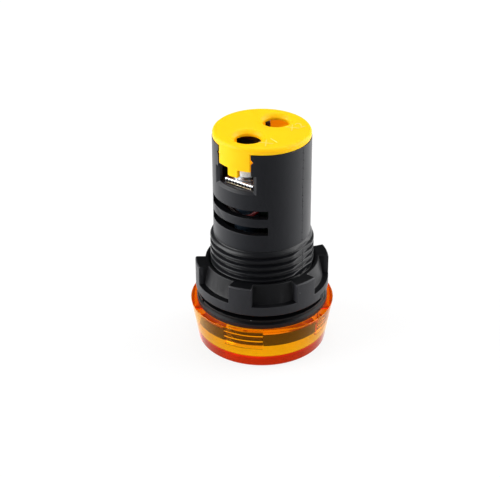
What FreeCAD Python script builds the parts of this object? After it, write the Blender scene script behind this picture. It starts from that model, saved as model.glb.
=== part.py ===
# Panel pilot light for a 22 mm panel hole, standing on its lens with the terminals up.
# Millimetres. The origin is the centre of the lens's front face and +Z runs along the lamp's axis,
# from the lens in front of the panel to the terminals behind it. A bearing is an angle about +Z,
# in degrees, counted from -Y, where the first terminal's window is, towards +X.

import FreeCAD, Part
import math
import os

# Driving dimensions: the whole lamp
OVERALL_H = 47.7          # lens front to the top of the terminal cover
CLEAR = 0.1               # play between pieces that slide past each other

# Lens
LENS_FRONT_R = 13.5
LENS_RIM_R = 15.0
LENS_H = 9.1
LENS_BORE_R = 12.85
LENS_FACE_T = 2.2
LENS_EDGE = 0.25          # bevel round the front face
CLAW_COUNT = 4
CLAW_BEARING = 19.0       # middle of the first snap claw
CLAW_ARC = 35.5
CLAW_TEETH = 3
TOOTH_H = 1.25
TOOTH_TIP_R = 12.2
TOOTH_ROOT_R = 12.55

# Housing: skirt, flange, threaded neck and barrel
SKIRT_R = 12.7
SKIRT_BORE_R = 11.6
SKIRT_Z = 4.8             # lower edge of the skirt inside the lens
FLANGE_R = 13.7
FLANGE_TOP = 10.5
FLANGE_EDGE = 0.4         # bevel round the flange
NECK_R = 10.7             # crest of the 22 mm fine thread, left plain here
NECK_TOP = 25.2
NECK_RUNOUT = 0.7         # the thread's last turn fades over this height
NECK_FLAT = 10.2          # the two flats of the neck, from the axis
BARREL_R = 10.0
BARREL_BORE_R = 8.6
BARREL_TOP = 46.4

# Terminal chamber
FLOOR_TOP = 37.4
FLOOR_T = 1.5
BARRIER_T = 1.6
BARRIER_TOP = 44.9
WINDOW_SILL = 37.7        # outer edge of the sill, which slopes up inwards at 45 degrees
WINDOW_FRAME_R = 9.4      # the window's bevelled frame ends at this radius
WINDOW_STEP = 41.8        # where the wide lower window meets the narrow slot of the tongue
WINDOW_HALF_OUT = 4.95
WINDOW_HALF_IN = 4.05
TERMINAL_Y = 4.8          # screw axes, each side of the lamp's axis

# Vents
VENT_HALF = 6.8
VENT_H = 1.74
VENT_LEVELS = (28.8, 32.46)

# Terminal cover
COVER_R = 9.92
COVER_EDGE = 0.4          # bevel round the top
HOLE_EDGE = 0.7           # bevel round the driver holes
TONGUE_HALF = 3.8
TONGUE_T = 1.02
TONGUE_Z = 42.6           # shoulders of the tongue
TAB_HALF = 1.2
TAB_Z = 40.9              # end of the tongue's middle tab
DETENT_Z = 44.85
DETENT_H = 1.1
DETENT_DEPTH = 0.42
DRIVER_HOLE_R = 2.65
RIB_ARC = 56              # locating ribs under the cover, inside the barrel's mouth
RIB_H = 1.3

# Ring nut and gasket
NUT_R = 13.9
NUT_Z = 12.3
NUT_BASE_H = 2.1
NUT_H = 6.2
NUT_LUGS = 6
NUT_LUG_ARC = 20.5
NUT_LUG_BEARING = 16.7
NUT_COLLAR_R = 12.6       # collar between the lugs, at its foot
NUT_COLLAR_TOP_R = 11.75
NUT_EDGE = 0.25
NIB_BEARING = 106.0       # small key under the nut that bites into the panel
GASKET_R = 13.4
GASKET_T = 0.55
GASKET_NOTCH_BEARING = -30.0

# Terminal hardware
PLATE_T = 0.8
PLATE_HALF = 3.3
PLATE_FRONT = 7.9
CLAMP_HALF = 3.42
CLAMP_GAP = 0.02          # the clamp plate just touches the terminal plate
CLAMP_PITCH = 0.76        # grip teeth under the clamp plate
SCREW_R = 1.45
SCREW_HEAD_R = 2.6
SCREW_HEAD_H = 1.9
SCREW_HEAD_EDGE = 0.6
SCREW_END = 35.0
FLAT_WASHER_R = 2.85
FLAT_WASHER_T = 0.5
SPRING_WASHER_R = 2.4
SPRING_WASHER_T = 0.45

# Electronics
LED_BOARD_R = 11.4
BOARD_T = 1.6
LED_SIZE = 5.0
LED_T = 1.6
LED_RING_R = 7.2
LED_RING_COUNT = 6
DRIVER_HALF = 6.9
DRIVER_TOP = 31.0
CAN_R = 2.5               # smoothing capacitor
CAN_X = -1.34
CAN_TOP = 32.6
CAN_L = 11.0
LEAD_R = 0.4

# Levels and radii that follow from the driving dimensions
CHAMBER_FLOOR_UNDER = FLOOR_TOP - FLOOR_T
SEAT_Z = FLANGE_TOP - BOARD_T
PLATE_TOP = FLOOR_TOP + PLATE_T
CLAMP_Z = PLATE_TOP + CLAMP_GAP
CLAMP_TOP = CLAMP_Z + PLATE_T
FLAT_WASHER_TOP = CLAMP_TOP + FLAT_WASHER_T
SCREW_HEAD_Z = FLAT_WASHER_TOP + SPRING_WASHER_T
LEG_END = CHAMBER_FLOOR_UNDER - 2.4
NUT_TOP = NUT_Z + NUT_H
GASKET_TOP = FLANGE_TOP + GASKET_T

V = FreeCAD.Vector
ORIGIN = V(0, 0, 0)
UP = V(0, 0, 1)


def at_bearing(radius, bearing, z=0.0):
    angle = math.radians(bearing)
    return V(radius * math.sin(angle), -radius * math.cos(angle), z)


def disc(radius, z0, z1, x=0.0, y=0.0):
    return Part.makeCylinder(radius, z1 - z0, V(x, y, z0), UP)


def ring(outer, inner, z0, z1, x=0.0, y=0.0):
    return disc(outer, z0, z1, x, y).cut(disc(inner, z0 - 1, z1 + 1, x, y))


def block(x0, x1, y0, y1, z0, z1):
    return Part.makeBox(x1 - x0, y1 - y0, z1 - z0, V(x0, y0, z0))


def turned(points, bearing=None, arc=360.0):
    """A closed outline of (radius, z) points turned about the lamp's axis, whole or as one sector."""
    corners = [V(0, -r, z) for r, z in points]
    face = Part.Face(Part.makePolygon(corners + corners[:1]))
    if arc < 360:
        face.rotate(ORIGIN, UP, bearing - arc / 2)
    return face.revolve(ORIGIN, UP, arc)


def sector(outer, inner, z0, z1, bearing, arc):
    return turned([(inner, z0), (outer, z0), (outer, z1), (inner, z1)], bearing, arc)


def joined(shapes):
    return shapes[0].multiFuse(shapes[1:]).removeSplitter() if len(shapes) > 1 else shapes[0]


def opposite(shape):
    other = shape.copy()
    other.rotate(ORIGIN, UP, 180)
    return other


def edges_where(shape, test):
    return [edge for edge in shape.Edges if test(edge)]


def circle_edges(shape, radius, z, slack=0.01):
    """The circular edges of one radius and level, whole or in arcs."""
    def fits(edge):
        curve = edge.Curve
        if not isinstance(curve, Part.Circle):
            return False
        return abs(curve.Radius - radius) < slack and abs(curve.Center.z - z) < slack
    return edges_where(shape, fits)


def make_lens():
    """Amber moulding: tapered cup, thick front face, four toothed claws that snap into the skirt."""
    cup = turned([
        (0, 0), (LENS_FRONT_R - LENS_EDGE, 0), (LENS_FRONT_R, LENS_EDGE), (LENS_RIM_R, LENS_H),
        (LENS_BORE_R, LENS_H), (LENS_BORE_R, LENS_FACE_T), (0, LENS_FACE_T),
    ])
    top = SKIRT_Z + CLAW_TEETH * TOOTH_H
    inside_wall = LENS_BORE_R + 0.3
    profile = [(inside_wall, top), (TOOTH_ROOT_R, top)]
    for tooth in range(CLAW_TEETH):
        upper = top - tooth * TOOTH_H
        profile.append((TOOTH_TIP_R, upper - 0.35 * TOOTH_H))
        profile.append((TOOTH_ROOT_R, upper - TOOTH_H))
    profile.append((inside_wall, SKIRT_Z))
    claws = [turned(profile, bearing, CLAW_ARC) for bearing in claw_bearings()]
    return joined([cup] + claws)


def claw_bearings():
    return [CLAW_BEARING + claw * 360 / CLAW_COUNT for claw in range(CLAW_COUNT)]


def face_at(radius, x):
    """How far forward, along Y, a wall of this radius stands at the given x."""
    return -math.sqrt(radius ** 2 - x ** 2)


def window_cutter():
    """One terminal window: a bevelled lower opening, and the slot of the cover's tongue above it."""
    face_y = -BARREL_R - 0.2
    back_y = -6.0
    sill_in = WINDOW_SILL + BARREL_R - WINDOW_FRAME_R
    rim_y = face_at(BARREL_R, WINDOW_HALF_OUT)
    frame_y = face_at(WINDOW_FRAME_R, WINDOW_HALF_IN)
    beyond = 0.3
    run_y = rim_y + beyond * (rim_y - frame_y) / (WINDOW_HALF_OUT - WINDOW_HALF_IN)
    far_x = WINDOW_HALF_OUT + beyond
    half_plan = [(WINDOW_HALF_IN, frame_y), (far_x, run_y), (far_x, face_y)]
    plan = half_plan + [(-x, y) for x, y in reversed(half_plan)]
    corners = [V(x, y, WINDOW_SILL - 1) for x, y in plan]
    rise = V(0, 0, WINDOW_STEP - WINDOW_SILL + 1)
    side_bevels = Part.Face(Part.makePolygon(corners + corners[:1])).extrude(rise)
    past_r = WINDOW_FRAME_R + 1
    above_sill = turned([(-back_y, sill_in), (WINDOW_FRAME_R, sill_in), (past_r, sill_in - 1),
                         (past_r, WINDOW_STEP), (-back_y, WINDOW_STEP)])
    frame = side_bevels.common(above_sill)
    through = block(-WINDOW_HALF_IN, WINDOW_HALF_IN, frame_y - 0.01, back_y, sill_in, WINDOW_STEP)
    slot_half = TONGUE_HALF + 0.15
    slot = block(-slot_half, slot_half, face_y, back_y, WINDOW_STEP - 0.5, BARREL_TOP + 1)
    notches = []
    for side in (-1, 1):
        corners = [
            V(side * (slot_half - 0.5), face_y, DETENT_Z - DETENT_H),
            V(side * (slot_half + DETENT_DEPTH), face_y, DETENT_Z),
            V(side * (slot_half - 0.5), face_y, DETENT_Z + DETENT_H),
        ]
        notches.append(Part.Face(Part.makePolygon(corners + corners[:1])).extrude(V(0, face_y * -0.4, 0)))
    return joined([frame, through, slot] + notches)


def board_rails():
    """Two pairs of ribs in the bore that hold the driver board's edges."""
    rails = []
    for x_side in (-1, 1):
        for y_side in (-1, 1):
            x0, x1 = sorted((x_side * 6.5, x_side * (BARREL_BORE_R + 0.3)))
            y0, y1 = sorted((y_side * (BOARD_T / 2 + CLEAR), y_side * (BOARD_T / 2 + 1.1)))
            rails.append(block(x0, x1, y0, y1, FLANGE_TOP + 1, CHAMBER_FLOOR_UNDER + 0.1))
    limit = disc(BARREL_BORE_R + 0.4, 0, BARREL_TOP)
    return [rail.common(limit) for rail in rails]


def make_housing():
    """Black moulding in one piece: skirt, flange, threaded neck, barrel, terminal floor and barrier."""
    shell = turned([
        (SKIRT_BORE_R, SKIRT_Z), (SKIRT_R, SKIRT_Z), (SKIRT_R, LENS_H), (FLANGE_R, LENS_H),
        (FLANGE_R, FLANGE_TOP - FLANGE_EDGE), (FLANGE_R - FLANGE_EDGE, FLANGE_TOP), (NECK_R, FLANGE_TOP),
        (NECK_R, NECK_TOP - NECK_RUNOUT), (BARREL_R, NECK_TOP), (BARREL_R, BARREL_TOP),
        (BARREL_BORE_R, BARREL_TOP), (BARREL_BORE_R, SEAT_Z), (SKIRT_BORE_R, SEAT_Z),
    ])
    into_wall = BARREL_BORE_R + 0.3
    floor = disc(into_wall, CHAMBER_FLOOR_UNDER, FLOOR_TOP)
    barrier = block(-into_wall, into_wall, -BARRIER_T / 2, BARRIER_T / 2, CHAMBER_FLOOR_UNDER, BARRIER_TOP)
    barrier = barrier.common(disc(into_wall, 0, BARREL_TOP))
    housing = joined([shell, floor, barrier] + board_rails())
    cuts = []
    for bearing in claw_bearings():
        pocket_r = TOOTH_TIP_R - 0.08
        cuts.append(sector(SKIRT_R + 1, pocket_r, SKIRT_Z - 1, LENS_H - 0.42, bearing, CLAW_ARC + 1))
    neck_flat = block(NECK_FLAT, NECK_R + 1, -8, 8, FLANGE_TOP + 0.01, NECK_TOP + 1)
    collar_hole = disc(2.5, CHAMBER_FLOOR_UNDER - 1, FLOOR_TOP + 1, 0, -TERMINAL_Y)
    leg_slot = block(-1.65, 1.65, -2.05, -1.0, CHAMBER_FLOOR_UNDER - 1, FLOOR_TOP + 1)
    in_pairs = [neck_flat, window_cutter(), collar_hole, leg_slot]
    for level in VENT_LEVELS:
        in_pairs.append(block(-VENT_HALF, VENT_HALF, -BARREL_R - 1, -4.6, level, level + VENT_H))
    for cutter in in_pairs:
        cuts.append(cutter)
        cuts.append(opposite(cutter))
    return housing.cut(cuts)


def make_gasket():
    """Flat rubber ring that seals the flange against the panel, with one notch for the panel's key."""
    seal = ring(GASKET_R, NECK_R + 0.08, FLANGE_TOP, GASKET_TOP)
    notch = block(-0.45, 0.45, -GASKET_R - 1, -GASKET_R + 0.5, FLANGE_TOP - 1, GASKET_TOP + 1)
    notch.rotate(ORIGIN, UP, GASKET_NOTCH_BEARING)
    return seal.cut(notch)


def make_nut():
    """Ring nut turned by hand or with a spanner ring: a collar with six lugs on a plain base ring."""
    bore = NECK_R + 0.08
    lead_in = 0.45
    base_top = NUT_Z + NUT_BASE_H
    collar = turned([
        (bore + lead_in, NUT_Z), (NUT_R, NUT_Z), (NUT_R, base_top), (NUT_COLLAR_R, base_top),
        (NUT_COLLAR_TOP_R, NUT_TOP), (bore + lead_in, NUT_TOP), (bore, NUT_TOP - lead_in),
        (bore, NUT_Z + lead_in),
    ])
    pieces = [collar]
    for lug in range(NUT_LUGS):
        bearing = NUT_LUG_BEARING + lug * 360 / NUT_LUGS
        block_of_lug = sector(NUT_R, bore + 0.6, base_top - 0.5, NUT_TOP, bearing, NUT_LUG_ARC)
        pieces.append(block_of_lug.makeChamfer(NUT_EDGE, circle_edges(block_of_lug, NUT_R, NUT_TOP)))
    pieces.append(sector(NUT_R - 0.15, NUT_R - 0.9, NUT_Z - 0.4, NUT_Z + 0.2, NIB_BEARING, 4.0))
    return joined(pieces)


def make_cover():
    """Yellow finger guard: a disc with two driver holes, a tongue in each window and two locating ribs."""
    cap = disc(COVER_R, BARREL_TOP, OVERALL_H)
    cap = cap.cut([disc(DRIVER_HOLE_R, BARREL_TOP - 1, OVERALL_H + 1, 0, side * TERMINAL_Y)
                   for side in (-1, 1)])
    cap = cap.makeChamfer(COVER_EDGE, circle_edges(cap, COVER_R, OVERALL_H))
    cap = cap.makeChamfer(HOLE_EDGE, circle_edges(cap, DRIVER_HOLE_R, OVERALL_H))
    wall = ring(COVER_R, COVER_R - TONGUE_T, TAB_Z - 1, BARREL_TOP)
    shoulders = block(-TONGUE_HALF, TONGUE_HALF, -COVER_R - 1, 0, TONGUE_Z, BARREL_TOP)
    tab = block(-TAB_HALF, TAB_HALF, -COVER_R - 1, 0, TAB_Z, TONGUE_Z + 1)
    tongue = wall.common(joined([shoulders, tab]))
    rib_r = BARREL_BORE_R - CLEAR
    ribs = [sector(rib_r, rib_r - 0.7, BARREL_TOP - RIB_H, BARREL_TOP, bearing, RIB_ARC)
            for bearing in (90, 270)]
    return joined([cap, tongue, opposite(tongue)] + ribs)


def make_terminal_plate():
    """Tinned brass: a flat contact with a threaded collar pressed down from it and a soldering leg."""
    leg_y0, leg_y1 = -1.9, -1.1
    plate = block(-PLATE_HALF, PLATE_HALF, -PLATE_FRONT, leg_y1, FLOOR_TOP, PLATE_TOP)
    plate = plate.common(disc(BARREL_BORE_R - 0.05, 0, BARREL_TOP))
    collar = disc(2.3, CHAMBER_FLOOR_UNDER, FLOOR_TOP + 0.1, 0, -TERMINAL_Y)
    leg = block(-1.5, 1.5, leg_y0, leg_y1, LEG_END, PLATE_TOP)
    plate = joined([plate, collar, leg])
    outside_bend = edges_where(plate, lambda edge: runs_along_x(edge, leg_y1, PLATE_TOP))
    plate = plate.makeFillet(0.6, outside_bend)
    hole = disc(SCREW_R + 0.05, CHAMBER_FLOOR_UNDER - 1, PLATE_TOP + 1, 0, -TERMINAL_Y)
    return plate.cut(hole)


def runs_along_x(edge, y, z):
    """True for the straight edge along X at the given depth and level."""
    ends = [vertex.Point for vertex in edge.Vertexes]
    return len(ends) == 2 and all(abs(p.y - y) < 0.01 and abs(p.z - z) < 0.01 for p in ends)


def make_clamp_plate():
    """Plated steel clamp: a thick washer plate with grip teeth below and a rounded front edge."""
    front_y = -7.8
    groove_half = 0.24
    groove_h = 0.3
    plate = block(-CLAMP_HALF, CLAMP_HALF, front_y, -1.3, CLAMP_Z, CLAMP_TOP)
    plate = plate.common(disc(BARREL_BORE_R - 0.06, 0, BARREL_TOP))
    cuts = [disc(SCREW_R + 0.2, CLAMP_Z - 1, CLAMP_TOP + 1, 0, -TERMINAL_Y)]
    grooves = int(2 * CLAMP_HALF / CLAMP_PITCH)
    for groove in range(grooves):
        x = (groove - (grooves - 1) / 2) * CLAMP_PITCH
        section = ((x - groove_half, CLAMP_Z), (x, CLAMP_Z + groove_h), (x + groove_half, CLAMP_Z))
        corners = [V(at_x, -9, at_z) for at_x, at_z in section]
        cuts.append(Part.Face(Part.makePolygon(corners + corners[:1])).extrude(V(0, 8.2, 0)))
    plate = plate.cut(cuts)
    return plate.makeFillet(0.3, edges_where(plate, lambda edge: runs_along_x(edge, front_y, CLAMP_TOP)))


def make_flat_washer():
    return ring(FLAT_WASHER_R, SCREW_R + 0.08, CLAMP_TOP, FLAT_WASHER_TOP, 0, -TERMINAL_Y)


def make_spring_washer():
    """Split ring of square section, pressed flat."""
    washer = ring(SPRING_WASHER_R, SCREW_R + 0.08, FLAT_WASHER_TOP, SCREW_HEAD_Z, 0, -TERMINAL_Y)
    gap = block(-0.12, 0.12, 0, 3, FLAT_WASHER_TOP - 1, SCREW_HEAD_Z + 1)
    gap.rotate(ORIGIN, UP, 35)
    gap.translate(V(0, -TERMINAL_Y, 0))
    return washer.cut(gap)


def make_screw():
    """Pan-head M3 terminal screw with a cross recess and a slot across it."""
    head_top = SCREW_HEAD_Z + SCREW_HEAD_H
    recess_depth = 1.1
    recess_half = 1.45
    head = disc(SCREW_HEAD_R, SCREW_HEAD_Z, head_top, 0, -TERMINAL_Y)
    head = head.makeChamfer(SCREW_HEAD_EDGE, circle_edges(head, SCREW_HEAD_R, head_top))
    shank = disc(SCREW_R, SCREW_END, SCREW_HEAD_Z + 0.1, 0, -TERMINAL_Y)
    slot = block(-SCREW_HEAD_R - 1, SCREW_HEAD_R + 1, -0.3, 0.3, head_top - recess_depth * 0.7, head_top + 1)
    cross = block(-recess_half, recess_half, -0.35, 0.35, head_top - recess_depth, head_top + 1)
    upright = cross.copy()
    upright.rotate(ORIGIN, UP, 90)
    recess = joined([slot, cross, upright])
    recess.rotate(ORIGIN, UP, 28)
    recess.translate(V(0, -TERMINAL_Y, 0))
    return joined([head, shank]).cut(recess)


def make_led_board():
    """Round board behind the lens, with two keys in its edge."""
    board = disc(LED_BOARD_R, SEAT_Z - BOARD_T, SEAT_Z)
    key = block(-0.8, 0.8, -LED_BOARD_R - 1, -LED_BOARD_R + 0.9, 0, SEAT_Z + 1)
    return board.cut([key, opposite(key)])


def make_led(index):
    """Surface-mounted light-emitting diode, flush-filled, with one corner cut to show its polarity."""
    half = LED_SIZE / 2
    top = SEAT_Z - BOARD_T
    chip = block(-half, half, -half, half, top - LED_T, top)
    corner = block(-0.6, 0.6, -0.6, 0.6, top - LED_T - 1, top + 1)
    corner.rotate(ORIGIN, UP, 45)
    corner.translate(V(half, half, 0))
    chip = chip.cut(corner)
    if index:
        bearing = (index - 1) * 360 / LED_RING_COUNT + 30
        chip.rotate(ORIGIN, UP, bearing)
        chip.translate(at_bearing(LED_RING_R, bearing))
    return chip


def make_driver_board():
    """Upright board between the rails, standing on the light board."""
    half_t = BOARD_T / 2
    board = block(-DRIVER_HALF, DRIVER_HALF, -half_t, half_t, SEAT_Z, DRIVER_TOP)
    corners = []
    for x in (-DRIVER_HALF, DRIVER_HALF):
        corners.append(block(x - 0.9, x + 0.9, -2, 2, DRIVER_TOP - 1.2, DRIVER_TOP + 1))
    return board.cut(corners)


def make_header():
    """Right-angle pins that join the two boards, in a black strip."""
    half_t = BOARD_T / 2
    pitch = 2.54
    pin_half = 0.3
    strip = block(-2 * pitch, 2 * pitch, half_t, half_t + 2.0, SEAT_Z, SEAT_Z + 2.0)
    pins = []
    for index in range(4):
        x = (index - 1.5) * pitch
        pins.append(block(x - pin_half, x + pin_half, half_t + 0.7, half_t + 1.3, SEAT_Z, SEAT_Z + 4.0))
        pins.append(block(x - pin_half, x + pin_half, half_t, half_t + 1.3, SEAT_Z + 3.4, SEAT_Z + 4.0))
    return joined([strip] + pins)


def make_electrolytic():
    """Smoothing capacitor: a sleeved can standing beside the driver board, its legs bent into the board."""
    bottom = CAN_TOP - CAN_L
    y = -BOARD_T / 2 - CAN_R - 0.1
    leg_half = 0.25
    can = disc(CAN_R, bottom, CAN_TOP, CAN_X, y)
    can = can.makeChamfer(0.3, circle_edges(can, CAN_R, CAN_TOP))
    pieces = [can]
    for x in (CAN_X - 1.0, CAN_X + 1.0):
        x0, x1 = x - leg_half, x + leg_half
        pieces.append(block(x0, x1, y - leg_half, y + leg_half, bottom - 0.9, bottom + 0.2))
        pieces.append(block(x0, x1, y, -BOARD_T / 2, bottom - 0.9, bottom - 0.4))
    return joined(pieces)


def make_film_capacitor():
    """Voltage-dropping film capacitor: a moulded box against the back of the driver board."""
    y0 = BOARD_T / 2
    box = block(-4.9, 4.9, y0 + 0.3, y0 + 4.7, 18.8, 27.8)
    feet = [block(side * 3.75 - 0.3, side * 3.75 + 0.3, y0, y0 + 0.4, 20, 26) for side in (-1, 1)]
    return joined([box] + feet)


def make_rectifier():
    """Bridge rectifier: a flat package with four formed legs on the driver board."""
    face_y = -BOARD_T / 2
    body = block(-5.6, -1.0, face_y - 2.7, face_y - 0.2, 12.4, 16.6)
    pieces = [body]
    for x in (-4.7, -1.9):
        for z0, z1, tip_z in ((11.6, 12.5, 11.6), (16.5, 17.4, 17.1)):
            pieces.append(block(x - 0.3, x + 0.3, face_y - 1.5, face_y - 1.2, z0, z1))
            pieces.append(block(x - 0.3, x + 0.3, face_y - 1.5, face_y, tip_z, tip_z + 0.3))
    return joined(pieces)


def make_resistor(z):
    """Axial resistor along the back of the driver board, its wire ends turned down into the board."""
    back = BOARD_T / 2
    y = back + 1.6
    half_body = 3.2
    half_span = 4.4
    along = V(1, 0, 0)
    pieces = [Part.makeCylinder(1.1, 2 * half_body, V(-half_body, y, z), along)]
    for x in (-half_body, half_body - 1.2):
        pieces.append(Part.makeCylinder(1.3, 1.2, V(x, y, z), along))
    corners = [V(-half_span, back, z), V(-half_span, y, z), V(half_span, y, z), V(half_span, back, z)]
    end = Part.Wire(Part.makeCircle(0.3, corners[0], V(0, 1, 0)))
    mitred = 1
    pieces.append(Part.makePolygon(corners).makePipeShell([end], True, False, mitred))
    return joined(pieces)


def tube_along(points, radius):
    """A round lead along straight runs joined by tangent arcs as large as the runs allow."""
    edges = []
    start = points[0]
    for before, corner, after in zip(points, points[1:], points[2:]):
        into = (corner - before).normalize()
        out = (after - corner).normalize()
        turn = into.getAngle(out)
        cut = 0.45 * min((corner - before).Length, (after - corner).Length)
        bend = cut / math.tan(turn / 2)
        enter = corner - into * cut
        leave = corner + out * cut
        inward = (out - into).normalize()
        centre = corner + inward * (bend / math.cos(turn / 2))
        middle = centre - inward * bend
        edges.append(Part.LineSegment(start, enter).toShape())
        edges.append(Part.Arc(enter, middle, leave).toShape())
        start = leave
    edges.append(Part.LineSegment(start, points[-1]).toShape())
    direction = (points[1] - points[0]).normalize()
    end = Part.Wire(Part.makeCircle(radius, points[0], direction))
    return Part.Wire(edges).makePipeShell([end], True, True)


def make_red_lead():
    """Lead of the first terminal: out over the can, in a slack bow across its front, back to the board."""
    leg_face = -1.9
    pad = -BOARD_T / 2
    return tube_along([
        V(0.9, leg_face, 34.3), V(0.9, -3.6, 34.3), V(4.6, -6.2, 33.8), V(0.6, -6.8, 30.15),
        V(-5.4, -5.9, 32.4), V(-5.6, -3.4, 29.4), V(-5.6, pad, 29.4),
    ], LEAD_R)


def make_black_lead():
    """Lead of the second terminal: straight down behind its leg and into the back of the board."""
    y = 1.9 + LEAD_R
    pad_z = 29.6
    return tube_along([V(-0.9, y, LEG_END + 1.4), V(-0.9, y, pad_z), V(-0.9, BOARD_T / 2, pad_z)], LEAD_R)


def build():
    nodes = {
        "lens": make_lens(),
        "housing": make_housing(),
        "gasket": make_gasket(),
        "mounting_nut": make_nut(),
        "terminal_cover": make_cover(),
        "led_board": make_led_board(),
        "driver_board": make_driver_board(),
        "pin_header": make_header(),
        "electrolytic_capacitor": make_electrolytic(),
        "film_capacitor": make_film_capacitor(),
        "bridge_rectifier": make_rectifier(),
        "dropping_resistor": make_resistor(14.2),
        "bleed_resistor": make_resistor(17.4),
        "red_lead": make_red_lead(),
        "black_lead": make_black_lead(),
    }
    hardware = {
        "terminal_plate": make_terminal_plate(),
        "clamp_plate": make_clamp_plate(),
        "flat_washer": make_flat_washer(),
        "spring_washer": make_spring_washer(),
        "terminal_screw": make_screw(),
    }
    for name, shape in hardware.items():
        nodes[name + "_1"] = shape
        nodes[name + "_2"] = opposite(shape)
    for index in range(LED_RING_COUNT + 1):
        nodes[f"led_{index + 1}"] = make_led(index)
    return nodes


def export(nodes):
    os.makedirs("parts", exist_ok=True)
    for name, shape in nodes.items():
        solids = shape.Solids
        if len(solids) != 1 or not shape.isValid():
            raise ValueError(f"{name}: {len(solids)} solids, valid {shape.isValid()}")
        solids[0].exportStep(f"parts/{name}.step")
        box = solids[0].BoundBox
        print(f"{name}: {solids[0].Volume:.1f} mm3, z {box.ZMin:.2f} to {box.ZMax:.2f}")


export(build())
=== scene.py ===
import bmesh
import bpy
import math
import random
from mathutils import Matrix, Vector


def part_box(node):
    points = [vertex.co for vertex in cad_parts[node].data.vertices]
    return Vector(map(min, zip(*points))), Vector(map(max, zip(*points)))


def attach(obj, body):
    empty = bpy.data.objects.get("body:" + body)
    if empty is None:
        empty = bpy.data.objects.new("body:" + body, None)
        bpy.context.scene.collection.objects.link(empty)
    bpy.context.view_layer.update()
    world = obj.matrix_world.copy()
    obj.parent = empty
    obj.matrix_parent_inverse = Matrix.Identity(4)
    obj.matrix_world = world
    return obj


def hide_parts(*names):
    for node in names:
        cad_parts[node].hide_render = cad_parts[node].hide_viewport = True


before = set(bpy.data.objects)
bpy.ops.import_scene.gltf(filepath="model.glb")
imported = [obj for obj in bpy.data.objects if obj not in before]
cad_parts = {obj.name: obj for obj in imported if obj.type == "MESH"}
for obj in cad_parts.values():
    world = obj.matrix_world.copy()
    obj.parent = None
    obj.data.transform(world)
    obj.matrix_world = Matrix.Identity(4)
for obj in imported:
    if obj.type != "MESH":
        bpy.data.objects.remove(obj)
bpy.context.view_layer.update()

# The place: a white table under soft light
# The lamp stands on its lens on a plain white table in white surroundings, which gloss mirrors at levels
# of their own. Two wide soft boxes light the lamp's sides, and a third lights its top.
MM = 0.001
TABLE_HALF = 3.0
TABLE_GAP = 0.05 * MM
TABLE_WHITE = (0.86, 0.86, 0.86, 1)
LIGHT_WHITE = (1, 1, 1, 1)
SEEN_SHARE = 0.8
TABLE_FRONT = (0.0, 0.98)
FRONT_MIRRORED = (0.95, 0.16)
TABLE_BACK = (0.2, -0.9)
BACK_MIRRORED = (0.0, 0.6)
ROOM_LIGHT = 0.5
ROOM_SIDES = (0.35, 0.95)
ROOM_MIRRORED = (0.03, 0.62)
VIEW_BEARING = math.radians(36.0)
TO_VIEWER = (math.sin(VIEW_BEARING), -math.cos(VIEW_BEARING), 0)
TO_RIGHT = (math.cos(VIEW_BEARING), math.sin(VIEW_BEARING), 0)


def place_node(tree, kind, sockets=None, **settings):
    """Adds a shader node. Its sockets are set to plain values, or linked where an output is given."""
    node = tree.nodes.new(kind)
    for name, value in settings.items():
        setattr(node, name, value)
    fill_sockets(tree, node, sockets or {})
    return node


def fill_sockets(tree, node, sockets):
    for name, value in sockets.items():
        if isinstance(value, bpy.types.NodeSocket):
            tree.links.new(value, node.inputs[name])
        else:
            node.inputs[name].default_value = value


def maths(tree, operation, *values):
    """One Math node; returns its value."""
    return place_node(tree, "ShaderNodeMath", dict(enumerate(values)), operation=operation).outputs[0]


def ramp(tree, value, low, high, at_low=0.0, at_high=1.0):
    """A smooth change from one value to another between two marks."""
    sockets = {0: value, 1: low, 2: high, 3: at_low, 4: at_high}
    return place_node(tree, "ShaderNodeMapRange", sockets, interpolation_type="SMOOTHSTEP").outputs[0]


def dot(tree, first, second):
    """How far one direction runs along another."""
    node = place_node(tree, "ShaderNodeVectorMath", {0: first, 1: second}, operation="DOT_PRODUCT")
    return node.outputs["Value"]


def empty_tree(owner):
    owner.use_nodes = True
    owner.node_tree.nodes.clear()
    return owner.node_tree


surroundings = bpy.data.worlds.new("white_surroundings")
bpy.context.scene.world = surroundings
tree = empty_tree(surroundings)
rays = place_node(tree, "ShaderNodeLightPath").outputs
direction = place_node(tree, "ShaderNodeTexCoord").outputs["Generated"]
sideways = maths(tree, "ABSOLUTE", dot(tree, direction, TO_RIGHT))
mirrored = ramp(tree, sideways, *ROOM_SIDES, *ROOM_MIRRORED)
for_gloss = maths(tree, "MULTIPLY", mirrored, rays["Is Glossy Ray"])
not_gloss = maths(tree, "SUBTRACT", 1.0, rays["Is Glossy Ray"])
lighting = maths(tree, "MULTIPLY_ADD", not_gloss, ROOM_LIGHT, for_gloss)
clear_view = maths(tree, "MAXIMUM", rays["Is Camera Ray"], rays["Is Transmission Ray"])
level = maths(tree, "MAXIMUM", lighting, clear_view)
backdrop = place_node(tree, "ShaderNodeBackground", {"Color": LIGHT_WHITE, "Strength": level})
place_node(tree, "ShaderNodeOutputWorld", {"Surface": backdrop.outputs[0]})

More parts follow.
